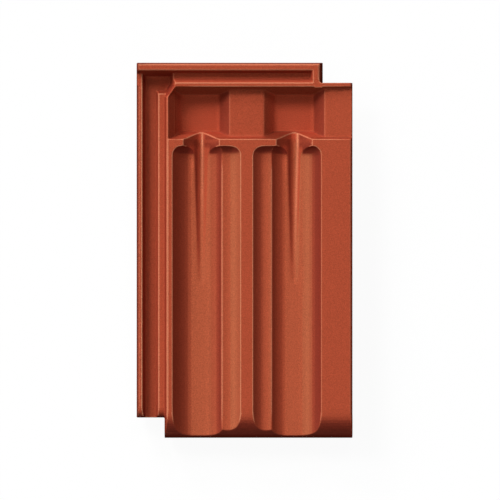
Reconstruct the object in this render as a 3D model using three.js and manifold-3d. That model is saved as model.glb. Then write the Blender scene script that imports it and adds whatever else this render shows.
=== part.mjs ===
// Pressed clay roof tile with two troughs, a side lock on the left and a head lock at the top.
// Millimetres. x runs from the left edge to the right, y from the foot edge to the head,
// z is measured from the level of the tile's flat faces, so the relief goes below zero.
// The finished tile is then moved so that its origin is the middle of its lowest level.
import * as THREE from 'three';
import { mergeVertices } from 'three/addons/utils/BufferGeometryUtils.js';
import Module from 'manifold-3d';

const wasm = await Module();
wasm.setup();

// ---- driving sizes ----------------------------------------------------------------------

// plan
const bodyWidth = 239;
const bodyLength = 455;
const sideLockWidth = 38;
const headLockLength = 26;
const footSetback = 26;
const lockEndSetback = 38;

// walls
const wallThickness = 12;
const recessWall = 10;
const headLockWall = 12;
const lockPlay = 1;
const easedEdge = 1.2;
const sideDraft = 2;
const flangeRootRadius = 2;

// double trough, measured from the tile's axis of symmetry
const axisFromBodyEdge = 103.5;
const middleFlatHalfWidth = 9;
const ridgeOffset = 31.9;
const troughEdgeOffset = 94.4;
const stepDepth = 9.2;
const ridgeDepth = 7.2;
const troughDepth = 18;
const stepWallAngle = 48;
const ridgeWallAngle = 50;
const troughWallAngle = 60;
const stepRadius = 22;
const ridgeRadius = 1.6;
const innerFloorRadius = 26;
const outerFloorRadius = 34;

// dam that closes the troughs, and the recess behind it
const damThickness = 8;
const troughEndLength = 13;
const troughEndInnerCorner = 11;
const troughEndOuterCorner = 9;
const recessLength = 67.4;
const plateauDepth = 11;
const pocketDepth = 27;
const recessWallAngle = 70;
const pocketInnerOffset = 22;
const pocketOuterOffset = 99.6;
const pocketInnerWallAngle = 49;
const pocketOuterWallAngle = 55;
const pocketFillet = 8;
const plateauRadius = 3;
const flangePlateauDepth = 7;
const flangeEdgeDepth = 5.4;
const lipOffset = 100.8;
const lipWallAngle = 58;
const cornerLip = 1.6;
const cornerLipWallAngle = 80;

// drain notch through the dam, running out along the trough floor
const drainOffset = 59.6;
const drainsAside = 1.2;
const drainDepth = 23.3;
const drainWallAngle = 51;
const drainRadius = 9;
const drainRunout = 183;

// head lock
const headRibWidth = 5.8;
const grooveWidth = 14.6;
const grooveDepth = 11;
const rimWallAngle = 75;
const grooveRibWallAngle = 66;
const grooveEndLand = 13.5;
const grooveEndWallAngle = 74;
const grooveFillet = 1.6;
const rimEndDraft = 4.7;
const rimEndFillet = 4;
const rimEndFilletLoss = 0.5;

// side lock
const lockRimWidth = 6;
const channelWidth = 19.6;
const channelDepth = 12;
const channelWallAngle = 74;
const channelFillet = 3;
const shelfHeadGap = 9;
const shelfHeadAngle = 68;
const lockFootRadius = 14;

// slanted cut of the body's corner beside the groove
const cornerCutWidth = 12.4;
const cornerCutLength = 17.9;
const cornerCutLean = 6;
const ribEndOffset = 1.3;

// foot
const noseLength = 36;
const noseCurveDrop = 28;
const noseLean = 4;
const noseHighPull = 17;
const noseLowPull = 6.5;

// underside
const waterBarWidth = 9;
const waterBarTaper = 2;
const waterBarPlay = 2;
const nibWidth = 52;
const nibThickness = 16;
const nibAheadOfRecess = 12;
const nibReach = 10;
const nibDraft = 6;

// how finely curves are divided
const arcStep = 8;
const noseSteps = 12;
const troughEndSteps = 7;
const filletSteps = 5;
const beyond = 6;
const bendReach = 0.9;

// ---- sizes that follow ------------------------------------------------------------------

const overallWidth = sideLockWidth + bodyWidth;
const overallLength = bodyLength + headLockLength;
const bodyLeft = sideLockWidth;
const bodyRight = overallWidth;
const axisX = bodyLeft + axisFromBodyEdge;
const grooveFoot = bodyLength + 1;
const grooveHead = grooveFoot + grooveWidth;
const recessHead = grooveFoot - headRibWidth;
const damHead = recessHead - recessLength;
const damFoot = damHead - damThickness;
const headRimRight = overallWidth - lockEndSetback;
const headLockUnderside = -(grooveDepth + headLockWall);
const lockTop = -(wallThickness + lockPlay);
const channelFloor = lockTop - channelDepth;
const underside = -(pocketDepth + recessWall);
const nibBottom = underside - nibReach;
const channelLeft = sideDraft + lockRimWidth;
const channelRight = channelLeft + channelWidth;
const lockRight = bodyLeft + wallThickness;

const clayMaterial = new THREE.MeshStandardMaterial({ color: 0xaa4a31, roughness: 0.55, metalness: 0 });

// ---- outlines and solids ----------------------------------------------------------------

const degrees = (angle) => THREE.MathUtils.degToRad(angle);
const runFor = (height, angle) => height / Math.tan(degrees(angle));

// A line through corners [a, b, radius], with each rounded corner turned into short chords.
function roundedLine(corners) {
  const line = [];
  corners.forEach(([a, b, radius = 0], index) => {
    const corner = new THREE.Vector2(a, b);
    if (!radius || index === 0 || index === corners.length - 1) {
      line.push(corner);
      return;
    }
    const before = new THREE.Vector2(...corners[index - 1]).sub(corner);
    const after = new THREE.Vector2(...corners[index + 1]).sub(corner);
    const turn = Math.PI - Math.acos(before.clone().normalize().dot(after.clone().normalize()));
    const room = Math.min(before.length(), after.length()) * bendReach;
    const reach = Math.min(radius * Math.tan(turn / 2), room);
    const start = corner.clone().addScaledVector(before.normalize(), reach);
    const end = corner.clone().addScaledVector(after.normalize(), reach);
    const steps = Math.max(1, Math.round(THREE.MathUtils.radToDeg(turn) / arcStep));
    const curve = new THREE.QuadraticBezierCurve(start, corner, end);
    line.push(...curve.getPoints(steps));
  });
  return line;
}

// The same corners moved sideways by a wall's thickness, to the right of the line's direction.
function offsetCorners(corners, distance) {
  const points = corners.map(([a, b]) => new THREE.Vector2(a, b));
  const sideOf = (from, to) => {
    const along = to.clone().sub(from).normalize();
    return new THREE.Vector2(along.y, -along.x);
  };
  return corners.map(([, , radius = 0], index) => {
    const last = points.length - 1;
    const before = sideOf(points[Math.max(index - 1, 0)], points[Math.max(index, 1)]);
    const after = sideOf(points[Math.min(index, last - 1)], points[Math.min(index + 1, last)]);
    const middle = before.clone().add(after);
    const miter = middle.multiplyScalar(distance / (1 + before.dot(after)));
    const hollow = before.x * after.y - before.y * after.x > 0;
    const newRadius = radius && (hollow ? radius + distance : Math.max(radius - distance, 1));
    return [points[index].x + miter.x, points[index].y + miter.y, newRadius];
  });
}

function toSolid(geometry) {
  geometry.deleteAttribute('normal');
  geometry.deleteAttribute('uv');
  const merged = mergeVertices(geometry, 1e-4);
  const vertProperties = new Float32Array(merged.attributes.position.array);
  const triVerts = new Uint32Array(merged.index.array);
  return new wasm.Manifold(new wasm.Mesh({ numProp: 3, vertProperties, triVerts }));
}

function extrude(outline, depth, xAxis, yAxis, zAxis, origin) {
  const shape = new THREE.Shape(outline.map((point) => new THREE.Vector2(point.x, point.y)));
  const geometry = new THREE.ExtrudeGeometry(shape, { depth, bevelEnabled: false });
  const placed = new THREE.Matrix4().makeBasis(xAxis, yAxis, zAxis).setPosition(origin);
  geometry.applyMatrix4(placed);
  return toSolid(geometry);
}

const xDir = new THREE.Vector3(1, 0, 0);
const yDir = new THREE.Vector3(0, 1, 0);
const zDir = new THREE.Vector3(0, 0, 1);

// A section in x and z, carried along y.
function alongY(section, yFrom, yTo) {
  const origin = new THREE.Vector3(0, yTo, 0);
  return extrude(roundedLine(section), yTo - yFrom, xDir, zDir, yDir.clone().negate(), origin);
}

// A section in y and z, carried along x.
function alongX(section, xFrom, xTo) {
  const origin = new THREE.Vector3(xFrom, 0, 0);
  return extrude(roundedLine(section), xTo - xFrom, yDir, zDir, xDir, origin);
}

const flattenAlongY = (point) => new THREE.Vector2(point.x, point.z);

// A closed body through rings with equal numbers of points, the first and last ring capped.
// Each flattened ring runs counterclockwise, with rings from high y to low y or low z to high z.
function loft(rings, flatten = flattenAlongY) {
  const count = rings[0].length;
  const lastRing = (rings.length - 1) * count;
  const index = [];
  for (let ring = 0; ring < rings.length - 1; ring += 1) {
    for (let side = 0; side < count; side += 1) {
      const a = ring * count + side;
      const b = ring * count + ((side + 1) % count);
      index.push(a, b, b + count, a, b + count, a + count);
    }
  }
  const outline = rings[0].map(flatten);
  THREE.ShapeUtils.triangulateShape(outline, []).forEach(([a, b, c]) => {
    index.push(a, c, b);
    index.push(lastRing + a, lastRing + b, lastRing + c);
  });
  const positions = rings.flat().flatMap((point) => [point.x, point.y, point.z]);
  const geometry = new THREE.BufferGeometry();
  geometry.setAttribute('position', new THREE.Float32BufferAttribute(positions, 3));
  geometry.setIndex(index);
  return toSolid(geometry);
}

const join = (solids) => solids.reduce((whole, solid) => whole.add(solid));
const cut = (solid, tools) => tools.reduce((rest, tool) => rest.subtract(tool), solid);
const bothSides = (make) => [make(1), make(-1)];

// ---- the hollows in the face, each also made larger by a wall to shape the underside ----

// Half of the double trough, from the middle flat's edge out to the trough's edge.
function troughCorners() {
  const stepFoot = middleFlatHalfWidth + runFor(stepDepth, stepWallAngle);
  const floorStart = ridgeOffset + runFor(troughDepth - ridgeDepth, ridgeWallAngle);
  const floorEnd = troughEdgeOffset - runFor(troughDepth, troughWallAngle);
  const rise = beyond / 2;
  return [
    [middleFlatHalfWidth - easedEdge - rise, rise],
    [middleFlatHalfWidth, -easedEdge, easedEdge],
    [stepFoot, -stepDepth, stepRadius],
    [ridgeOffset, -ridgeDepth, ridgeRadius],
    [floorStart, -troughDepth, innerFloorRadius],
    [floorEnd, -troughDepth, outerFloorRadius],
    [troughEdgeOffset, -easedEdge, easedEdge],
    [troughEdgeOffset + easedEdge + rise, rise],
  ];
}

// side is 1 for the right-hand trough and -1 for the left-hand one. At its head end the
// trough rises and narrows along a quarter circle, like the end of a tray.
function troughHollow(side, grow) {
  const line = roundedLine(offsetCorners(troughCorners(), grow));
  const middle = (line[0].x + line.at(-1).x) / 2;
  const half = (line.at(-1).x - line[0].x) / 2;
  const ringAt = (y, angle) => {
    const kept = Math.cos(angle);
    const lift = (1 - kept) * (beyond / 2 - grow);
    const ring = line.map((point) => {
      const corner = point.x < middle ? troughEndInnerCorner : troughEndOuterCorner;
      const across = middle + (point.x - middle) * (1 - ((1 - kept) * corner) / half);
      return new THREE.Vector3(axisX + side * across, y, point.y * kept + lift);
    });
    ring.push(new THREE.Vector3(ring.at(-1).x, y, beyond));
    ring.push(new THREE.Vector3(ring[0].x, y, beyond));
    return side > 0 ? ring : ring.reverse();
  };
  const rings = [ringAt(-beyond, 0)];
  for (let step = 0; step <= troughEndSteps; step += 1) {
    const angle = (step / troughEndSteps) * (Math.PI / 2);
    const along = (troughEndLength + grow) * Math.sin(angle);
    rings.push(ringAt(damFoot - troughEndLength + along, angle));
  }
  return loft(rings.reverse());
}

// The drain is a V through the dam whose rounded bottom climbs to the trough floor.
function drainHollow(side, grow) {
  const centre = axisX + drainsAside + side * drainOffset;
  const climb = (drainDepth - troughDepth) / drainRunout;
  const growth = grow / Math.cos(degrees(drainWallAngle));
  const belowRound = drainRadius / Math.cos(degrees(drainWallAngle)) - drainRadius;
  const arm = runFor(drainDepth, drainWallAngle);
  const bend = roundedLine([[-arm, drainDepth], [0, 0, drainRadius + grow], [arm, drainDepth]]);
  const ringAt = (y) => {
    const bottom = -drainDepth - belowRound - growth + (damHead - y) * climb;
    const reach = runFor(beyond - bottom, drainWallAngle);
    const ring = bend.slice(1, -1).map((point) => new THREE.Vector2(point.x, bottom + point.y));
    ring.unshift(new THREE.Vector2(-reach, beyond));
    ring.push(new THREE.Vector2(reach, beyond));
    return ring.map((point) => new THREE.Vector3(centre + point.x, y, point.y));
  };
  const headEnd = damHead + runFor(pocketDepth, recessWallAngle) + beyond;
  return loft([ringAt(headEnd), ringAt(damHead - drainRunout - growth / climb)]);
}

// A solid whose outline in plan changes evenly with z, from one level up to another.
function betweenLevels(outlineAt, zFrom, zTo) {
  const ringAt = (z) => outlineAt(z).map(([x, y]) => new THREE.Vector3(x, y, z));
  return loft([ringAt(zFrom), ringAt(zTo)], (point) => new THREE.Vector2(point.x, point.y));
}

// The line in plan along which the body's corner is cut, moved sideways toward the corner.
function slantedLine(offset) {
  const direction = new THREE.Vector2(cornerCutWidth, cornerCutLength).normalize();
  const head = new THREE.Vector2(bodyLeft - sideDraft + cornerCutWidth, recessHead);
  head.add(new THREE.Vector2(-direction.y, direction.x).multiplyScalar(offset));
  return { direction, head };
}

// The recess keeps a wall of its own beside the slanted corner.
function recessCornerRoom(grow) {
  const spread = overallWidth;
  const outlineAt = (z) => {
    const growth = grow / Math.sin(degrees(cornerLipWallAngle));
    const line = slantedLine(growth - cornerLip + z / Math.tan(degrees(cornerLipWallAngle)));
    const foot = line.head.clone().addScaledVector(line.direction, -spread);
    const head = line.head.clone().addScaledVector(line.direction, spread);
    return [
      [foot.x, foot.y],
      [overallWidth + spread, foot.y],
      [overallWidth + spread, head.y],
      [head.x, head.y],
    ];
  };
  return betweenLevels(outlineAt, -(pocketDepth + grow + beyond), beyond * 2);
}

// One hollow across the whole body: level plateaus at the middle and on the right, a pocket
// on each side of the middle, and a thin lip left standing on the left.
function recessHollow(grow) {
  const innerRun = runFor(pocketDepth - plateauDepth, pocketInnerWallAngle);
  const outerRun = runFor(pocketDepth - flangePlateauDepth, pocketOuterWallAngle);
  const inner = [
    [pocketInnerOffset, -plateauDepth, plateauRadius],
    [pocketInnerOffset + innerRun, -pocketDepth, pocketFillet],
  ];
  const left = [
    [-lipOffset - runFor(beyond, lipWallAngle), beyond],
    [runFor(pocketDepth, lipWallAngle) - lipOffset, -pocketDepth, pocketFillet],
    ...inner.map(([across, z, radius]) => [-across, z, radius]).reverse(),
  ];
  const right = [
    ...inner,
    [pocketOuterOffset - outerRun, -pocketDepth, pocketFillet],
    [pocketOuterOffset, -flangePlateauDepth, plateauRadius],
    [bodyRight - axisX, -flangeEdgeDepth],
    [bodyRight + beyond - axisX, -flangeEdgeDepth],
  ];
  const floor = offsetCorners([...left, ...right], grow);
  const section = floor.map(([across, z, radius]) => [axisX + across, z, radius]);
  section.push([section.at(-1)[0], section[0][1]]);
  const depth = pocketDepth + grow + beyond;
  const wallRun = runFor(depth, recessWallAngle);
  const topRun = runFor(beyond * 2, recessWallAngle);
  const side = offsetCorners([
    [damHead - topRun, beyond * 2],
    [damHead + wallRun, -depth],
    [recessHead - wallRun, -depth],
    [recessHead + topRun, beyond * 2],
  ], grow);
  const across = alongY(section, damHead - grow - beyond, recessHead + grow + beyond);
  const hollow = across.intersect(alongX(side, 0, overallWidth + beyond));
  return hollow.intersect(recessCornerRoom(grow));
}

function faceHollows(coverGrow, recessGrow) {
  return [
    ...bothSides((side) => troughHollow(side, coverGrow)),
    ...bothSides((side) => drainHollow(side, recessGrow)),
    recessHollow(recessGrow),
  ];
}

// ---- main body --------------------------------------------------------------------------

// The body's side outline: level face, foot nose bending down, upright head edge.
function bodySideLine(inset, bottom, head) {
  const nose = new THREE.CubicBezierCurve(
    new THREE.Vector2(0, -noseCurveDrop),
    new THREE.Vector2(noseLean, -noseLowPull),
    new THREE.Vector2(noseHighPull, 0),
    new THREE.Vector2(noseLength, 0),
  );
  const line = [];
  for (let step = 0; step <= noseSteps; step += 1) {
    const tangent = nose.getTangent(step / noseSteps);
    const point = nose.getPoint(step / noseSteps);
    line.push([point.x + tangent.y * inset, point.y - tangent.x * inset]);
  }
  return [[line[0][0], bottom], ...line, [head, -inset], [head, bottom]];
}

function bodyBlank() {
  const section = [
    [bodyLeft - sideDraft, underside],
    [bodyLeft - sideDraft, lockTop],
    [bodyLeft + easedEdge / 2, -easedEdge],
    [bodyLeft + easedEdge * 2, 0],
    [bodyRight - sideDraft - easedEdge, 0],
    [bodyRight - sideDraft + easedEdge / 2, -easedEdge],
    [bodyRight, -wallThickness],
    [bodyRight, underside],
  ];
  const across = alongY(section, -beyond, bodyLength + beyond);
  return across.intersect(alongX(bodySideLine(0, underside, bodyLength), 0, overallWidth));
}

// The open space below the tile, before the walls round the face's hollows are added back.
function undersideSpace() {
  const below = nibBottom - beyond;
  const section = [
    [lockRight, below],
    [lockRight, -wallThickness, flangeRootRadius],
    [bodyRight + beyond, -wallThickness],
    [bodyRight + beyond, below],
  ];
  const across = alongY(section, -beyond, bodyLength + beyond);
  const sideLine = bodySideLine(wallThickness, below, bodyLength + beyond);
  return across.intersect(alongX(sideLine, 0, overallWidth + beyond * 2));
}

// Room under the right flange for the rim of the next tile's side lock.
function flangeSpace() {
  const inside = bodyRight - sideLockWidth + lockPlay;
  const section = [
    [inside, nibBottom],
    [inside, -wallThickness],
    [bodyRight + beyond, -wallThickness],
    [bodyRight + beyond, nibBottom],
  ];
  return alongY(section, damFoot, bodyLength + beyond);
}

function mainBody() {
  const shell = cut(bodyBlank(), faceHollows(0, 0));
  const space = cut(undersideSpace(), faceHollows(wallThickness, recessWall));
  return cut(shell, [space, flangeSpace()]);
}

// ---- locks ------------------------------------------------------------------------------

// Rim, water channel and shelf, level with the underside of the next tile's flange.
function sideLock() {
  const lean = runFor(channelDepth, channelWallAngle);
  const section = [
    [0, underside],
    [sideDraft - easedEdge / 2, lockTop - easedEdge],
    [sideDraft + easedEdge, lockTop],
    [channelLeft - easedEdge, lockTop],
    [channelLeft, lockTop - easedEdge],
    [channelLeft + lean, channelFloor, channelFillet],
    [channelRight - lean / 2, channelFloor],
    [channelRight, lockTop - easedEdge],
    [channelRight + easedEdge, lockTop],
    [lockRight, lockTop],
    [lockRight, underside],
  ];
  const footLine = [
    [footSetback, underside],
    [footSetback, lockTop, lockFootRadius],
    [grooveHead, lockTop],
    [grooveHead, underside],
  ];
  const profile = alongY(section, 0, grooveHead).intersect(alongX(footLine, 0, lockRight));
  const shelfHead = recessHead - shelfHeadGap;
  const slopeEnd = runFor(channelDepth, shelfHeadAngle);
  const headRoom = [
    [shelfHead - slopeEnd / 4, lockTop + channelDepth / 4],
    [shelfHead + slopeEnd, channelFloor],
    [grooveHead + beyond, channelFloor],
    [grooveHead + beyond, lockTop + channelDepth / 4],
  ];
  return profile.subtract(alongX(headRoom, channelRight - lean / 2, lockRight + beyond));
}

// The body's corner beside the groove is cut on a slant, so that the groove drains aside.
function cornerCut() {
  const outside = bodyLeft - sideDraft - beyond * 3;
  const outlineAt = (z) => {
    const lean = (cornerCutLean * z) / channelFloor;
    const line = slantedLine(lean);
    const foot = line.head.clone().addScaledVector(line.direction, -cornerCutLength * 2);
    const ribEnd = bodyLeft - sideDraft + cornerCutWidth + ribEndOffset - lean;
    return [
      [foot.x, foot.y],
      [line.head.x, line.head.y],
      [ribEnd, grooveFoot + lean],
      [ribEnd, grooveHead + beyond],
      [outside, grooveHead + beyond],
      [outside, foot.y],
    ];
  };
  return beforeRim(betweenLevels(outlineAt, channelFloor, beyond));
}

function headRim() {
  const easing = easedEdge / 2;
  const across = [
    [0, underside],
    [sideDraft - easing, -easedEdge],
    [sideDraft + easedEdge, 0],
    [headRimRight - rimEndDraft - easedEdge, 0],
    [headRimRight - rimEndDraft + easing, -easedEdge],
    [headRimRight, headLockUnderside],
    [lockRight, headLockUnderside],
    [lockRight, underside],
  ];
  const along = [
    [recessHead + 1, underside],
    [recessHead + 1, 0],
    [overallLength - sideDraft - easedEdge, 0],
    [overallLength - sideDraft + easing, -easedEdge],
    [overallLength, headLockUnderside],
    [overallLength, underside],
  ];
  const block = alongY(across, recessHead, overallLength + beyond);
  return block.intersect(alongX(along, -beyond, overallWidth)).add(rimEndCorner());
}

// A fillet in plan where the head rim's end meets the body's head edge.
function rimEndCorner() {
  const outlineAt = (z) => {
    const radius = rimEndFillet + z * rimEndFilletLoss;
    const x = headRimRight - rimEndDraft;
    const fillet = [[x - beyond, bodyLength - beyond]];
    fillet.push([x + radius, bodyLength - beyond]);
    for (let step = 0; step <= filletSteps; step += 1) {
      const angle = (step / filletSteps) * (Math.PI / 2);
      fillet.push([x + radius * (1 - Math.sin(angle)), bodyLength + radius * (1 - Math.cos(angle))]);
    }
    fillet.push([x - beyond, bodyLength + radius]);
    return fillet;
  };
  return betweenLevels(outlineAt, -rimEndFillet, 0);
}

// Everything on the foot side of the head rim's inner wall.
function beforeRim(solid) {
  const deep = channelFloor - beyond;
  const along = [
    [grooveHead - bodyLength / 2, deep],
    [grooveHead - runFor(-deep, rimWallAngle), deep],
    [grooveHead, -easedEdge],
    [grooveHead + easedEdge + beyond, beyond],
    [grooveHead - bodyLength / 2, beyond],
  ];
  return solid.intersect(alongX(along, -beyond * 2, overallWidth));
}

// The groove between the head rib and the head rim, closed on the right.
function headGroove() {
  const grooveEnd = headRimRight - grooveEndLand;
  const endRun = runFor(grooveDepth, grooveEndWallAngle);
  const rise = beyond / 2;
  const along = [
    [grooveFoot - easedEdge - rise, rise],
    [grooveFoot, -easedEdge],
    [grooveFoot + runFor(grooveDepth, grooveRibWallAngle), -grooveDepth, grooveFillet],
    [grooveHead + beyond, -grooveDepth],
    [grooveHead + beyond, rise],
  ];
  const across = [
    [bodyLeft - sideDraft, rise],
    [bodyLeft - sideDraft, -grooveDepth - beyond],
    [grooveEnd - endRun * 1.5, -grooveDepth - beyond],
    [grooveEnd, -easedEdge, easedEdge],
    [grooveEnd + easedEdge + rise, rise],
  ];
  const length = alongX(along, 0, overallWidth);
  return beforeRim(length.intersect(alongY(across, recessHead, overallLength)));
}

// Room for the water channel where it runs on past the body, up to the head rim.
function channelHead() {
  const lean = runFor(channelDepth, channelWallAngle);
  const top = runFor(lockTop - channelFloor + beyond, channelWallAngle);
  const section = [
    [-beyond, beyond],
    [-beyond, lockTop],
    [channelLeft - easedEdge, lockTop],
    [channelLeft, lockTop - easedEdge],
    [channelLeft + lean, channelFloor, channelFillet],
    [bodyLeft - sideDraft, channelFloor],
    [bodyLeft - sideDraft, beyond],
  ];
  return beforeRim(alongY(section, recessHead - top, grooveHead + beyond));
}

// ---- underside --------------------------------------------------------------------------

// The bar below the right flange hangs in the side channel of the next tile.
function waterBar() {
  const centre = bodyRight - sideLockWidth + (channelLeft + channelRight) / 2;
  const bottom = channelFloor + waterBarPlay;
  const half = waterBarWidth / 2;
  const root = 1 - wallThickness;
  const section = [
    [centre - half - waterBarTaper, root],
    [centre - half, bottom],
    [centre + half, bottom],
    [centre + half + waterBarTaper, root],
  ];
  return alongY(section, footSetback, damFoot);
}

// Two nibs below the pockets' head walls hook the tile over its batten.
function nib(side) {
  const centre = axisX + (side * (pocketInnerOffset + pocketOuterOffset)) / 2;
  const root = headLockUnderside + 1;
  const headFace = recessHead + nibAheadOfRecess;
  const run = runFor(root - nibBottom, 90 - nibDraft);
  const along = [
    [headFace - nibThickness, root],
    [headFace - nibThickness, nibBottom],
    [headFace - run, nibBottom],
    [headFace, root],
  ];
  const across = [
    [centre - nibWidth / 2 - run, root],
    [centre - nibWidth / 2, nibBottom],
    [centre + nibWidth / 2, nibBottom],
    [centre + nibWidth / 2 + run, root],
  ];
  const length = alongX(along, centre - nibWidth, centre + nibWidth);
  return length.intersect(alongY(across, recessHead - nibThickness, grooveHead));
}

// ---- the tile ---------------------------------------------------------------------------

function tileSolid() {
  const face = cut(join([mainBody(), headRim()]), [headGroove(), cornerCut()]);
  const formed = join([face, sideLock(), waterBar(), ...bothSides(nib)]);
  return formed.subtract(channelHead());
}

const tileMesh = tileSolid().getMesh();
const tileGeometry = new THREE.BufferGeometry();
tileGeometry.setAttribute('position', new THREE.BufferAttribute(tileMesh.vertProperties, 3));
tileGeometry.setIndex(new THREE.BufferAttribute(tileMesh.triVerts, 1));
tileGeometry.computeVertexNormals();

const tile = new THREE.Mesh(tileGeometry, clayMaterial);
tile.name = 'roof_tile';
tile.position.set(-overallWidth / 2, -overallLength / 2, -nibBottom);

const group = new THREE.Group();
group.add(tile);

export default group;
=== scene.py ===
import math

import bpy
import numpy as np
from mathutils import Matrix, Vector


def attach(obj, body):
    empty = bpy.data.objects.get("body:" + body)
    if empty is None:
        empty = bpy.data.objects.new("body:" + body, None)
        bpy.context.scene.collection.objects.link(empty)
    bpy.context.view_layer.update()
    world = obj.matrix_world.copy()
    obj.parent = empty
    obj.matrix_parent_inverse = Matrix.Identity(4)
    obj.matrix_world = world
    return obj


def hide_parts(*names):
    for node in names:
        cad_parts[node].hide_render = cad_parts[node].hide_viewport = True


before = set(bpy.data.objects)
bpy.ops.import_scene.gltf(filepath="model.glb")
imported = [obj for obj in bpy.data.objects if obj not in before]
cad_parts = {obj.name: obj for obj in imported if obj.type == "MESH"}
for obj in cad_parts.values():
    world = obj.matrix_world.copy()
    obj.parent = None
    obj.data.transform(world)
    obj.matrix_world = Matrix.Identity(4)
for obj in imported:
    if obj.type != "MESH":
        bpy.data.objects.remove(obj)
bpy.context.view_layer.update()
print("scene: frame loaded")

scene = bpy.context.scene
scene.view_settings.view_transform = "Standard"
mm = 0.001

viewSettings = {
    "sensor": 36.0,
    "distance": 15.0,         # metres above the face, far enough that the sides stay upright
    "farthest": 30.0,
    "widthSeen": 0.6402,      # metres across the image at the face's level
    "sideways": 0.00706,      # the tile stands a little left of the image's middle
    "upwards": 0.0004,
    "faceLevel": 0.047,
}


def makeCamera(s):
    data = bpy.data.cameras.new("camera")
    data.sensor_width = s["sensor"]
    data.lens = s["sensor"] * s["distance"] / s["widthSeen"]
    data.clip_end = s["farthest"]
    camera = bpy.data.objects.new("camera", data)
    camera.location = (s["sideways"], s["upwards"], s["faceLevel"] + s["distance"])
    scene.collection.objects.link(camera)
    scene.camera = camera


class Socket:
    # one output of a node, so that sums can be written as in Python
    def __init__(self, shader, socket):
        self.shader = shader
        self.socket = socket

    def calc(self, operation, *values):
        settings = {"operation": operation}
        return self.shader.node("ShaderNodeMath", settings, dict(enumerate(values)))

    def __add__(self, other):
        return self.calc("ADD", self, other)

    def __sub__(self, other):
        return self.calc("SUBTRACT", self, other)

    def __rsub__(self, other):
        return self.calc("SUBTRACT", other, self)

    def __mul__(self, other):
        return self.calc("MULTIPLY", self, other)

    __radd__ = __add__
    __rmul__ = __mul__


class Shader:
    # a node tree that is written as calls
    def __init__(self, owner):
        owner.use_nodes = True
        self.tree = owner.node_tree
        self.tree.nodes.clear()

    def node(self, kind, settings=None, inputs=None, output=0):
        made = self.tree.nodes.new(kind)
        for name, value in (settings or {}).items():
            setattr(made, name, value)
        for name, value in (inputs or {}).items():
            if isinstance(value, Socket):
                self.tree.links.new(value.socket, made.inputs[name])
            elif value is not None:
                made.inputs[name].default_value = value
        return Socket(self, made.outputs[output] if len(made.outputs) else None)

    def mixed(self, share, first, second, how="MIX"):
        # a Mix node has its colours at sockets 6 and 7, and gives the mixed one at 2
        def colour(value):
            return value if isinstance(value, Socket) else (*value, 1)
        settings = {"data_type": "RGBA", "blend_type": how}
        inputs = {0: share, 6: colour(first), 7: colour(second)}
        return self.node("ShaderNodeMix", settings, inputs, 2)

    def mask(self, name):
        return self.node("ShaderNodeAttribute", {"attribute_name": name}, None, "Fac")

    def noise(self, place, scale, detail=2.0, rough=0.5):
        inputs = {"Vector": place, "Scale": scale, "Detail": detail, "Roughness": rough}
        return self.node("ShaderNodeTexNoise", None, inputs) - 0.5

    def ramp(self, value, low, high):
        # from 0 at the low value to 1 at the high one
        settings = {"interpolation_type": "SMOOTHSTEP"}
        inputs = {0: value, 1: low, 2: high, 3: 0.0, 4: 1.0}
        return self.node("ShaderNodeMapRange", settings, inputs)


lightSettings = {
    # degrees down from overhead, degrees round from the flange side, power, degrees across
    "lamps": {
        "keyLight": (53, 131, 1.60, 16),
        "keyLower": (68, 119, 1.40, 12),
        "keySide": (62, 150, 0.75, 18),
        "keyRaking": (79, 108, 0.85, 12),
        "headLight": (46, 72, 0.70, 26),
        "sideLight": (38, 180, 0.26, 24),
        "sideRaking": (79, 180, 0.27, 14),
        "overhead": (0, 0, 0.23, 24),
        "fillLight": (55, 285, 0.36, 60),
    },
    "worldLevel": 0.01,
}


def makeWorld(s):
    world = bpy.data.worlds.new("studio")
    scene.world = world
    shader = Shader(world)
    seen = seenDirectly(shader)
    level = s["worldLevel"]
    dim = shader.node("ShaderNodeBackground", None, {"Color": (level, level, level, 1)})
    white = shader.node("ShaderNodeBackground", None, {"Color": (1, 1, 1, 1)})
    both = shader.node("ShaderNodeMixShader", None, {0: seen, 1: dim, 2: white})
    shader.node("ShaderNodeOutputWorld", None, {"Surface": both})


def seenDirectly(shader):
    # 1 for the rays that show the backdrop itself, 0 for those that light things
    path = shader.node("ShaderNodeLightPath", None, None, "Is Camera Ray")
    glossy = Socket(shader, path.socket.node.outputs["Is Glossy Ray"])
    through = Socket(shader, path.socket.node.outputs["Is Transmission Ray"])
    rays = path + glossy + through
    return rays.calc("MINIMUM", rays, 1.0)


def makeLights(s):
    for name, (down, around, power, spread) in s["lamps"].items():
        down, around = math.radians(down), math.radians(around)
        level = math.sin(down)
        source = Vector((level * math.cos(around), level * math.sin(around), math.cos(down)))
        data = bpy.data.lights.new(name, "SUN")
        data.energy = power
        data.angle = math.radians(spread)
        light = bpy.data.objects.new(name, data)
        light.rotation_mode = "QUATERNION"
        light.rotation_quaternion = source.to_track_quat("Z", "Y")
        scene.collection.objects.link(light)


floorSettings = {
    "size": 8.0,
    "paper": (0.98, 0.98, 0.98),
    "bounce": (0.3, 0.3, 0.3),    # what it throws back at the tile
    "seenWhite": 0.94,            # share of the floor that shows as plain white
}


def makeFloor(s):
    bpy.ops.object.select_all(action="DESELECT")
    bpy.ops.mesh.primitive_plane_add(size=s["size"])
    floor = bpy.context.object
    floor.name = "floor"
    material = bpy.data.materials.new("floorPaper")
    shader = Shader(material)
    seen = seenDirectly(shader)
    tone = shader.mixed(seen, s["bounce"], s["paper"])
    paper = shader.node("ShaderNodeBsdfDiffuse", None, {"Color": tone})
    glow = shader.node("ShaderNodeEmission", None, {"Color": (1, 1, 1, 1), "Strength": 1.0})
    both = shader.node("ShaderNodeMixShader", None, {0: seen * s["seenWhite"], 1: paper, 2: glow})
    shader.node("ShaderNodeOutputMaterial", None, {"Surface": both})
    floor.data.materials.append(material)


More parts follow.
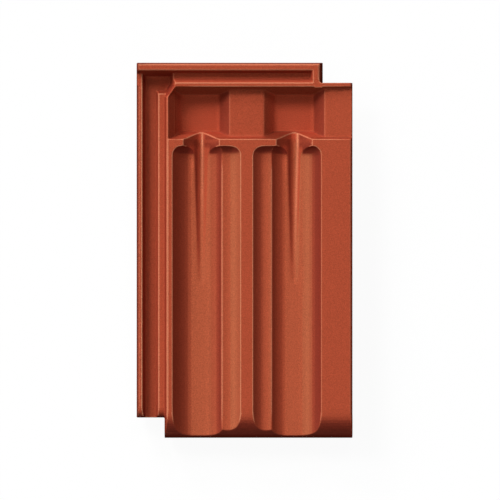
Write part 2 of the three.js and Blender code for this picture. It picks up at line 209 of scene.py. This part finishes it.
claySettings = {
    "face": (0.380, 0.0592, 0.0266),      # sprayed clay slip, fired
    "yellowTone": (0.414, 0.083, 0.0366),    # painted light: lighter, yellower trough floors; on the recess's top wall it browns the painted shade
    "litSlope": (0.380, 0.088, 0.0388),     # painted light on slopes turned towards the light
    "pocketLight": (0.450, 0.062, 0.0285),     # painted light: lighter pocket floors
    "steepShade": (0.193, 0.0235, 0.0133),     # painted shade on steep walls and on walls turned away from the light
    "wearAndGlint": (0.80, 0.36, 0.20),           # rubbed edges, with a painted highlight along them
    "drainHighlight": (0.60, 0.165, 0.085),       # painted highlight: a pale streak along the drains
    "side": (0.15, 0.021, 0.011),         # painted shade on the outer sides
    # painted shade in the creases
    "creaseShade": (0.24, 0.027, 0.014),
    "bare": (0.46, 0.13, 0.066),          # the underside is left unsprayed
    "coats": ("litSlope", "pocketLight", "steepShade", "creaseShade", "drainHighlight", "side"),    # from below to above
    # how far painted light lifts the colour, and painted shadow lowers it
    "lightLift": 0.8,
    "shadowDrop": 0.5,
    "roughness": 0.6,
    "steepRoughness": 0.8,
    "bareRoughness": 0.8,
    "specular": 0.16,
    "specularTint": (1.0, 0.98, 0.5),
    # scale, detail and roughness of the three noises
    "mottleNoise": (34.0, 4.0, 0.6),
    "grainNoise": (900.0, 2.0, 0.6),
    "speckleNoise": (405.0, 3.0, 0.7),
    "mottle": 0.12,
    "grain": 1.2,
    "speckle": 0.25,
    "yellowToneSpeckle": 0.4,                # so much more in the trough floors
    "roughMottle": 0.12,
    "roughGrain": 0.1,
    "grainDepth": 0.16 * mm,
    "speckleHeight": 0.8,
    "wearAndGlintBreak": (0.35, 0.9),              # the wear and highlight break off between these shares
    "wearAndGlintSpeckle": 0.3,
    "wearAndGlintOffWalls": 0.6,
    "bareEdge": (0.4, 0.6),
    "bareSpeckle": 0.5,
}


def clayMaterial(s):
    material = bpy.data.materials.new("sprayedClay")
    shader = Shader(material)
    place = shader.node("ShaderNodeTexCoord", None, None, "Object")
    mottle = shader.noise(place, *s["mottleNoise"])
    grain = shader.noise(place, *s["grainNoise"])
    speckle = shader.noise(place, *s["speckleNoise"])
    steepShade = shader.mask("steepShade")
    yellowTone = shader.mask("yellowTone")
    # the wear and painted highlight stop where an edge turns into a steep wall
    edges = shader.mask("wearAndGlint") - shader.mask("matte") * s["wearAndGlintOffWalls"]
    edges = edges + (speckle + grain) * s["wearAndGlintSpeckle"]
    wearAndGlint = shader.ramp(edges, *s["wearAndGlintBreak"]) * shader.mask("wearAndGlintShare")
    bare = shader.ramp(shader.mask("bare") + speckle * s["bareSpeckle"], *s["bareEdge"])
    colour = shader.mixed(yellowTone, s["face"], s["yellowTone"])
    for name in s["coats"]:
        colour = shader.mixed(shader.mask(name), colour, s[name])
    colour = shader.mixed(wearAndGlint, colour, s["wearAndGlint"])
    colour = shader.mixed(bare, colour, s["bare"])
    tone = 1 + mottle * s["mottle"] + grain * s["grain"]
    tone = tone + speckle * (yellowTone * s["yellowToneSpeckle"] + s["speckle"])
    # painted light and painted shadow, as lighter and darker colour
    lift = shader.mask("paintedLight") * s["lightLift"] - shader.mask("paintedShadow") * s["shadowDrop"]
    colour = shader.mixed(1.0, colour, tone * (1 + lift), "MULTIPLY")
    rough = s["roughness"] + mottle * s["roughMottle"] + grain * s["roughGrain"]
    rough = rough + steepShade * (s["steepRoughness"] - s["roughness"])
    rough = rough + bare * (s["bareRoughness"] - s["roughness"])
    bump = shader.node("ShaderNodeBump", None, {
        "Strength": 1.0,
        "Distance": s["grainDepth"],
        "Height": grain + speckle * s["speckleHeight"],
    })
    clay = shader.node("ShaderNodeBsdfPrincipled", None, {
        "Base Color": colour,
        "Roughness": rough,
        "Specular IOR Level": s["specular"],
        "Specular Tint": (*s["specularTint"], 1),
        "Normal": bump,
    })
    # steep walls have no gloss
    matte = shader.node("ShaderNodeBsdfDiffuse", None, {"Color": colour, "Normal": bump})
    both = {0: shader.mask("matte"), 1: clay, 2: matte}
    surface = shader.node("ShaderNodeMixShader", None, both)
    shader.node("ShaderNodeOutputMaterial", None, {"Surface": surface})
    return material


anySlope = (-1, 0)      # degrees, so that every slope counts in full

tileSettings = {
    "weld": 0.001 * mm,
    "voxel": 0.7 * mm,
    "quickVoxel": 1.6 * mm,
    "smoothFactor": 0.5,
    "smoothing": 1,
    "softening": 24,            # smoothing steps in the drains and the recess
    "tipSoftening": 100,        # and more of them where a drain runs out
    "triangles": 190000,

    # where the forms lie: x runs from the lock side to the flange, y from the foot to the head
    "faceLevel": 47 * mm,
    "skin": 1 * mm,             # deeper than this is no longer the face
    "inside": (4 * mm, 7 * mm),      # over these depths a trough or the recess begins
    "bodyLeft": -100.5 * mm,
    "axis": 3 * mm,             # middle of the two troughs, across the tile
    "shallowHalf": 31.5 * mm,   # the shallow steps reach this far from the axis
    "areaEdge": 2 * mm,         # how softly one area passes into the next
    "damFoot": 134 * mm,
    "damHead": 142 * mm,
    "troughEnds": 138 * mm,
    "recessHead": 212 * mm,
    "recessSoftLeft": (-97.5 * mm, -94.5 * mm),
    "recessSoftRight": (110 * mm, 116 * mm),
    "outline": (
        (-138.5, -214.5), (-138.5, 240.5), (100.5, 240.5), (100.5, 214.5),
        (138.5, 214.5), (138.5, -240.5), (-102.5, -240.5), (-102.5, -214.5),
    ),

    # wear and painted highlight on the edges, painted shade in the creases: where they are, and
    # how strong
    "shortestEdge": 0.3 * mm,
    "edgeRadius": (2.4 * mm, 7.0 * mm),
    "creaseRadius": (0.8 * mm, 3.0 * mm),
    "creaseShare": 0.5,
    "nose": (212 * mm, 226 * mm),
    "noseUnmarked": 0.7,
    "ridgeEnds": (112 * mm, 122 * mm),           # the ridges in the troughs get no wear or highlight from here
    "ledge": (-103.5 * mm, -80.5 * mm),          # beside the recess, at the lock
    "ledgeUnmarked": (-98.5 * mm, -95.5 * mm),
    "wearAndGlintShare": 0.36,
    "wearAndGlintLockward": -0.1,
    "wearAndGlintAtLock": 0.4,
    "wearAndGlintFacing": (0.05, 0.3),
    "lessOnLedge": 0.55,
    "lessInside": 0.35,
    "lessOnRightRim": 0.55,
    "rightRim": (85 * mm, 110 * mm),
    "rightRimHead": 126 * mm,
    "lessAtFlange": 0.8,
    "flangeEdge": (126 * mm, 130 * mm),
    "lessAtHead": 0.4,
    "headEdge": (216 * mm, 222 * mm),

    # painted shade on steep walls: the share, and the slopes in degrees over which it comes
    "wall": (0.4, (18, 50)),
    "wallAtLock": 0.1,          # so much more there
    # more of it in troughs and recess, by how far the wall is turned that way
    "troughLockward": (0.6, (0.1, 0.4)),
    "recessLockward": (0.4, (0.1, 0.4)),
    # less of it in the recess
    "recessFootward": (0.5, (0.2, 0.6)),
    "recessFlangeward": (0.8, (0.1, 0.4)),
    # and at least this share: the share, slopes in degrees, how far turned that way
    "troughFootward": (1.0, anySlope, (0.05, 0.4)),
    "leftLockward": (0.25, (4, 16), (0.05, 0.2)),
    "leftFlangeward": (0.45, (6, 24), (0.05, 0.2)),
    "rightFlangeward": (0.2, (6, 24), (0.05, 0.2)),
    "recessHeadward": (0.3, anySlope, (0.15, 0.5)),
    "channelShare": 0.25,
    "channelDepth": (15 * mm, 22 * mm),

    # painted light on the trough floors, on slopes turned to the light and on the pocket floors;
    # the top wall is the recess's wall turned to the foot
    "litFloorDepth": (5 * mm, 11 * mm),
    "litFloorSlope": (8, 22),
    "litFloorFlangeward": (0.5, (0.05, 0.25)),
    "litFloorRight": 0.25,       # so much less in the right trough
    "litSlopeLockward": (0.05, 0.25),
    "litSlopeAngles": (26, 42),
    "litSlopeShallow": 20,        # degrees more on the shallow steps
    "litSlopeLeft": 0.6,          # so much less in the left trough
    "pocketDepth": (13 * mm, 24 * mm),
    "topWallFacing": (0.3, 0.7),

    # painted shadow on the dam's back, under the dam's edge and on the recess's top wall
    "backFacing": (0.15, 0.5),
    "backBeside": (20 * mm, 28 * mm),
    "backFades": (46 * mm, 84 * mm),
    "backReach": 12 * mm,
    "backShadow": 0.95,
    "browFrom": (0.8 * mm, 2 * mm),
    "browTo": (5 * mm, 8 * mm),
    "browReach": 8 * mm,
    "browShadow": 0.6,
    "topWallShadow": 0.3,

    # painted shade on the outer sides, darker on the lock side than on the flange
    "rimWidth": (2.5 * mm, 3.5 * mm),
    "rimUnmarked": (45, 65),
    "rimLockward": (0.1, 0.3),
    "sideSlope": (45, 65),
    "sideLater": 20,            # degrees later at the flange
    "sideSooner": 30,           # degrees sooner at the lock side
    "flangeSide": 126 * mm,
    "lockSide": -134 * mm,
    "matteSlope": (50, 70),
    "bareFacing": (0.0, 0.5),
    "upperFacing": 0.1,         # what faces up less than this isn't streaked or softened

    # the left drain and the right one, with offsets from the drain's middle to the flange
    "drains": (
        {
            "middle": -55.4 * mm,
            "streakAtTip": 1.2 * mm,     # where the painted highlight's streak runs
            "streakAtDam": 1.2 * mm,
            "streakHalf": 1.3 * mm,
            "startsAt": 10 * mm,         # the streak and the dark flank start here, in y
            "notchFade": 1.0,            # 1 where the painted shade fades out across the notch
            "flankLight": 0.5,            # and painted light lies in a band on the dark flank
        },
        {
            "middle": 63.8 * mm,
            "streakAtTip": -0.5 * mm,
            "streakAtDam": 4.2 * mm,
            "streakHalf": 1.6 * mm,
            "startsAt": -45 * mm,
            "notchFade": 0.0,
            "flankLight": 0.0,
        },
    ),
    "drainHalf": 9 * mm,
    "drainEdge": 3 * mm,
    "drainTip": -45 * mm,
    "tipReach": 20 * mm,
    "tipFades": (-25 * mm, 25 * mm),
    "softEdge": 4 * mm,
    "softTip": 10 * mm,
    "softDam": 8 * mm,
    "notchHalf": 25 * mm,
    "notchBegins": (128 * mm, 136 * mm),      # in y, like the tip's and the dam's places
    "notchShade": 0.55,
    "notchSide": (1 * mm, 3 * mm),
    "notchFades": (6 * mm, 14 * mm),
    "flankOuter": (-11 * mm, -8 * mm),
    "flankInner": (-6 * mm, -3 * mm),
    "flankShade": 0.25,
    "unshadedSide": (-1 * mm, 1 * mm),
    "shoulder": (-12 * mm, 4 * mm),      # painted light in a band beside the drain: its middle and width
    "shoulderLight": 0.12,
    "damLight": 0.98,
    "damLightFrom": (84 * mm, 124 * mm),
    "flankBand": (-3.9 * mm, 1.5 * mm),
    "flankBandFrom": (-30 * mm, 20 * mm),
    "streakHead": 8 * mm,
    "streakHeadGlint": 0.8,
}


def applied(obj, kind, **settings):
    modifier = obj.modifiers.new(kind.lower(), kind)
    for name, value in settings.items():
        setattr(modifier, name, value)
    bpy.ops.object.modifier_apply(modifier=modifier.name)


def rise(values, low, high):
    # from 0 at the low value to 1 at the high one, with soft ends
    share = np.clip((values - low) / (high - low), 0, 1)
    return share * share * (3 - 2 * share)


def fall(values, low, high):
    return 1 - rise(values, low, high)


def band(values, middle, width):
    return np.exp(-((values - middle) / width) ** 2)


def readArray(items, name, width, kind):
    values = np.empty(len(items) * width, dtype=kind)
    items.foreach_get(name, values)
    return values.reshape(-1, width)


class Surface:
    # where each vertex lies, which way it faces and which of the tile's areas it is in
    def __init__(self, mesh, s):
        self.points = readArray(mesh.vertices, "co", 3, float)
        self.normals = readArray(mesh.vertices, "normal", 3, float)
        self.edges = readArray(mesh.edges, "vertices", 2, np.int64)
        self.x, self.y = self.points[:, 0], self.points[:, 1]
        self.depth = s["faceLevel"] - self.points[:, 2]
        self.flangeward, self.headward, upward = self.normals.T
        self.lockward, self.footward = -self.flangeward, -self.headward
        self.slope = np.degrees(np.arccos(np.clip(upward, -1, 1)))
        self.upper = upward > s["upperFacing"]
        self.sunk = self.depth > s["skin"]
        self.inside = rise(self.depth, *s["inside"])
        soft = s["areaEdge"]
        self.atLock = fall(self.x, s["bodyLeft"] - soft, s["bodyLeft"] + soft)
        self.troughs = (self.y < s["troughEnds"]) * (1 - self.atLock)
        fromAxis = np.abs(self.x - s["axis"])
        self.shallow = self.troughs * fall(fromAxis, s["shallowHalf"] - soft, s["shallowHalf"])
        self.deep = self.troughs * (1 - self.shallow)
        self.headEnd = (self.y > s["damHead"]) * (self.y < s["recessHead"])
        self.recess = self.headEnd * (1 - self.atLock)


def bending(on, shortest):
    # one over the radius at each vertex, of its edge and of its crease
    first, last = on.edges.T
    along = on.points[last] - on.points[first]
    turn = on.normals[last] - on.normals[first]
    bend = (along * turn).sum(1) / np.maximum((along * along).sum(1), shortest ** 2)
    most = np.zeros(len(on.points))
    least = np.zeros(len(on.points))
    for end in (first, last):
        np.maximum.at(most, end, bend)
        np.minimum.at(least, end, bend)
    return most, -least


def fromOutline(on, corners):
    # distance of each vertex, in plan, from the tile's outline
    plan = on.points[:, :2]
    nearest = np.full(len(plan), 1.0)
    for first, last in zip(corners, corners[1:] + corners[:1]):
        start, end = np.array(first) * mm, np.array(last) * mm
        side = end - start
        share = np.clip((plan - start) @ side / (side @ side), 0, 1)
        away = np.linalg.norm(plan - start - share[:, None] * side, axis=1)
        nearest = np.minimum(nearest, away)
    return nearest


def edgeWearAndGlint(on, edgeBend, ledge, s):
    # the nose, the ridges' ends at the dam and the ledge's edge get less wear and painted
    # highlight, or none
    sharp, soft = s["edgeRadius"]
    wearAndGlint = rise(edgeBend, 1 / soft, 1 / sharp)
    wearAndGlint = wearAndGlint * (1 - s["noseUnmarked"] * rise(-on.y, *s["nose"]))
    wearAndGlint = wearAndGlint * (1 - on.troughs * on.inside * rise(on.y, *s["ridgeEnds"]))
    return wearAndGlint * (1 - ledge * rise(on.x, *s["ledgeUnmarked"]))


def wearAndGlintStrength(on, ledge, s):
    # how strong the wear and painted highlight are, where there are any
    wearAndGlintShare = s["wearAndGlintShare"] + s["wearAndGlintLockward"] * rise(on.lockward, *s["wearAndGlintFacing"])
    atLock = on.atLock * rise(on.flangeward, *s["wearAndGlintFacing"])
    wearAndGlintShare = wearAndGlintShare + s["wearAndGlintAtLock"] * atLock
    left, right = s["rightRim"]
    rightRim = (on.x > left) * (on.x < right) * (on.y < s["rightRimHead"])
    rightRim = rightRim * on.troughs * (on.depth < s["inside"][0])
    wearAndGlintShare = wearAndGlintShare * (1 - s["lessOnLedge"] * ledge)
    wearAndGlintShare = wearAndGlintShare * (1 - s["lessInside"] * on.troughs * on.inside)
    wearAndGlintShare = wearAndGlintShare * (1 - s["lessOnRightRim"] * rightRim)
    wearAndGlintShare = wearAndGlintShare * (1 - s["lessAtFlange"] * rise(on.x, *s["flangeEdge"]))
    return wearAndGlintShare * (1 - s["lessAtHead"] * rise(on.y, *s["headEdge"]))


def wallShade(on, s):
    # painted shade on steep walls, most of all on deep walls turned to the lock side, and on
    # walls turned to the foot or the flange, away from the light
    def turned(values, name):
        share, facing = s[name]
        return share * rise(values, *facing)

    def sloping(area, values, name):
        share, slopes, facing = s[name]
        return area * share * rise(on.slope, *slopes) * rise(values, *facing)

    share, slopes = s["wall"]
    shadeShare = share + s["wallAtLock"] * on.atLock
    shadeShare = shadeShare + on.deep * turned(on.lockward, "troughLockward")
    shadeShare = shadeShare + on.recess * turned(on.lockward, "recessLockward")
    lessShade = np.maximum(
        turned(on.footward, "recessFootward"),
        turned(on.flangeward, "recessFlangeward"),
    )
    leftTrough = on.x < s["axis"]
    rightDeep = on.x >= s["axis"] + s["shallowHalf"]
    return np.maximum.reduce([
        rise(on.slope, *slopes) * shadeShare * (1 - on.recess * lessShade),
        sloping(on.troughs, on.footward, "troughFootward"),
        sloping(on.deep * leftTrough, on.lockward, "leftLockward"),
        sloping(on.troughs * ~rightDeep, on.flangeward, "leftFlangeward"),
        sloping(on.troughs * rightDeep, on.flangeward, "rightFlangeward"),
        sloping(on.recess, on.headward, "recessHeadward"),
        on.atLock * s["channelShare"] * rise(on.depth, *s["channelDepth"]),
    ])


def paintedShadows(on, s):
    # painted shadow on the dam's back, beside the right notch and just under the dam's edge
    beside = rise(on.x, *s["backBeside"]) * fall(on.x, *s["backFades"])
    beside = beside * (on.y < s["damHead"] + s["backReach"])
    brow = rise(on.depth, *s["browFrom"]) * fall(on.depth, *s["browTo"])
    brow = brow * (on.y < s["damHead"] + s["browReach"])
    back = on.recess * rise(on.headward, *s["backFacing"])
    return back * np.maximum(s["backShadow"] * beside, s["browShadow"] * brow)


def litFloors(on, s):
    # painted light on the trough floors, least where they rise to the lock side and face away
    # from the light
    share, facing = s["litFloorFlangeward"]
    yellowTone = rise(on.depth, *s["litFloorDepth"]) * fall(on.slope, *s["litFloorSlope"])
    yellowTone = yellowTone * (1 - share * rise(on.flangeward, *facing))
    return yellowTone * on.troughs * (1 - s["litFloorRight"] * (on.x > s["axis"]))


def litSlopes(on, s):
    # painted light on gentle slopes in the troughs that face the lock side, towards the light
    slope = on.slope - s["litSlopeShallow"] * on.shallow
    litSlope = rise(on.lockward, *s["litSlopeLockward"]) * fall(slope, *s["litSlopeAngles"])
    return litSlope * on.troughs * (1 - s["litSlopeLeft"] * on.deep * (on.x < s["axis"]))


def paintDrain(on, masks, drain, s):
    aside = on.x - drain["middle"]
    across = np.abs(aside)
    # below the dam, and through it
    through = rise(on.y, *s["notchBegins"])
    below = fall(across, s["drainHalf"], s["drainHalf"] + s["drainEdge"]) * on.sunk
    below = below * (1 - through) * (on.y > s["drainTip"] - s["tipReach"])
    notch = (across < s["notchHalf"]) * on.sunk * through * (on.y < s["damHead"])
    inDrain = below * rise(on.y, drain["startsAt"], s["damFoot"]) + notch
    # painted shade on the drain's flank on the lock side, turned away from the light, and in the
    # notch; below the dam the flange side gets none
    flank = rise(aside, *s["flankOuter"]) * fall(aside, *s["flankInner"])
    fade = 1 - drain["notchFade"] * rise(aside, *s["notchFades"])
    steepShade = masks["steepShade"] * (1 - below * rise(aside, *s["unshadedSide"]))
    steepShade = np.maximum(steepShade, s["notchShade"] * notch * fade * rise(aside, *s["notchSide"]))
    masks["steepShade"] = steepShade + s["flankShade"] * inDrain * flank
    # the painted highlight's streak runs up over the dam's back
    upwards = np.clip((on.y - s["drainTip"]) / (s["damFoot"] - s["drainTip"]), 0, 1)
    middle = drain["streakAtTip"] + (drain["streakAtDam"] - drain["streakAtTip"]) * upwards
    streak = band(aside, middle, drain["streakHalf"])
    atHead = on.sunk * (on.y >= s["damHead"]) * (on.y < s["damHead"] + s["streakHead"])
    masks["drainHighlight"] += (inDrain + atHead) * streak
    # below the dam the drain's edges get no wear or highlight; in the notch and on the dam's back
    # the streak also counts as a glinting edge
    edge = (notch + s["streakHeadGlint"] * atHead) * streak
    masks["wearAndGlint"] = np.maximum(masks["wearAndGlint"] * (1 - below), edge)
    # painted light in a band beside each drain, most near the dam, and on the dark flank
    nearDam = rise(on.y, *s["damLightFrom"]) * (on.y < s["damFoot"]) * on.sunk
    shoulder = s["shoulderLight"] * on.troughs + s["damLight"] * nearDam
    masks["paintedLight"] += shoulder * band(aside, *s["shoulder"])
    flankLight = drain["flankLight"] * below * rise(on.y, *s["flankBandFrom"])
    masks["paintedLight"] += flankLight * band(aside, *s["flankBand"])


def paintMasks(mesh, s):
    on = Surface(mesh, s)
    edgeBend, creaseBend = bending(on, s["shortestEdge"])
    left, right = s["ledge"]
    ledge = on.headEnd * (on.x > left) * (on.x < right)
    sharp, soft = s["creaseRadius"]
    topWall = on.recess * rise(on.footward, *s["topWallFacing"])
    masks = {
        "wearAndGlint": edgeWearAndGlint(on, edgeBend, ledge, s),
        "wearAndGlintShare": wearAndGlintStrength(on, ledge, s),
        # painted shade in the creases
        "creaseShade": s["creaseShare"] * rise(creaseBend, 1 / soft, 1 / sharp),
        "steepShade": wallShade(on, s),
        # the recess's top wall, in shade, gets painted shadow and the yellower tone
        "paintedShadow": paintedShadows(on, s) + s["topWallShadow"] * topWall,
        "yellowTone": litFloors(on, s) + topWall,
        "litSlope": litSlopes(on, s),
        # painted light on the pocket floors
        "pocketLight": (on.recess - topWall) * rise(on.depth, *s["pocketDepth"]),
        "matte": rise(on.slope, *s["matteSlope"]),
        "bare": rise(-on.normals[:, 2], *s["bareFacing"]),
        "drainHighlight": np.zeros(len(on.points)),
        "paintedLight": np.zeros(len(on.points)),
    }
    for drain in s["drains"]:
        paintDrain(on, masks, drain, s)
    masks["steepShade"] = masks["steepShade"] * (1 - masks["wearAndGlint"])
    masks["drainHighlight"] = masks["drainHighlight"] * on.upper
    masks["paintedLight"] = masks["paintedLight"] * on.upper
    # painted shade on the outer sides, where the edges get no wear or highlight
    rim = fall(fromOutline(on, s["outline"]), *s["rimWidth"])
    unmarked = np.maximum(rise(on.slope, *s["rimUnmarked"]), rise(on.lockward, *s["rimLockward"]))
    masks["wearAndGlint"] = masks["wearAndGlint"] * (1 - rim * unmarked)
    later = s["sideLater"] * (on.x > s["flangeSide"]) - s["sideSooner"] * (on.x < s["lockSide"])
    masks["side"] = rim * rise(on.slope - later, *s["sideSlope"])
    for name, values in masks.items():
        mask = mesh.attributes.new(name, "FLOAT", "POINT")
        mask.data.foreach_set("value", np.clip(values, 0, 1).astype(np.float32))


def soften(tile, name, weight, steps, factor):
    # four levels of weight are enough, and far quicker than one vertex at a time
    levels = 4
    group = tile.vertex_groups.new(name=name)
    for level in range(1, levels + 1):
        chosen = np.flatnonzero((weight * levels).round() == level)
        group.add(chosen.tolist(), level / levels, "REPLACE")
    applied(tile, "SMOOTH", factor=factor, iterations=steps, vertex_group=group.name)


def softenForms(tile, s):
    # the drains' edges and tips melt into the trough floors, and the recess is soft inside
    on = Surface(tile.data, s)
    recess = on.headEnd * on.inside
    recess = recess * rise(on.x, *s["recessSoftLeft"]) * fall(on.x, *s["recessSoftRight"])
    drains = np.zeros(len(on.points))
    for drain in s["drains"]:
        across = np.abs(on.x - drain["middle"])
        near = fall(across, s["drainHalf"], s["drainHalf"] + s["softEdge"])
        near = near * rise(on.y, s["drainTip"] - s["softTip"], s["drainTip"])
        drains = np.maximum(drains, near)
    belowDam = fall(on.y, s["damFoot"] - s["softDam"], s["damFoot"])
    forms = np.maximum(recess, drains * belowDam)
    soften(tile, "softForms", forms * on.upper, s["softening"], s["smoothFactor"])
    tips = drains * fall(on.y, *s["tipFades"])
    soften(tile, "drainTips", tips * on.upper, s["tipSoftening"], s["smoothFactor"])


def makeTile(s):
    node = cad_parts["roof_tile"]
    bpy.ops.object.select_all(action="DESELECT")
    tile = bpy.data.objects.new("pressedTile", node.data.copy())
    scene.collection.objects.link(tile)
    bpy.context.view_layer.objects.active = tile
    tile.select_set(True)
    bpy.ops.object.mode_set(mode="EDIT")
    bpy.ops.mesh.select_all(action="SELECT")
    bpy.ops.mesh.remove_doubles(threshold=s["weld"])
    bpy.ops.object.mode_set(mode="OBJECT")
    voxel = s["voxel"]
    applied(tile, "REMESH", mode="VOXEL", voxel_size=voxel)
    applied(tile, "SMOOTH", factor=s["smoothFactor"], iterations=s["smoothing"])
    print("scene: tile remeshed,", len(tile.data.polygons), "faces")
    softenForms(tile, s)
    print("scene: drains and recess softened")
    # the masks hold wear as well as painted light, shade and highlights
    paintMasks(tile.data, s)
    print("scene: slip and wear painted")
    # a face of the remesh is two triangles
    ratio = s["triangles"] / (2 * len(tile.data.polygons))
    applied(tile, "DECIMATE", ratio=ratio)
    bpy.ops.object.shade_smooth()
    tile.data.materials.clear()
    tile.data.materials.append(clayMaterial(claySettings))
    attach(tile, "root")
    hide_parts("roof_tile")
    return tile


makeCamera(viewSettings)
makeWorld(lightSettings)
makeLights(lightSettings)
makeFloor(floorSettings)
print("scene: camera, lights and floor made")
tile = makeTile(tileSettings)
print("scene: tile made,", len(tile.data.polygons), "faces")
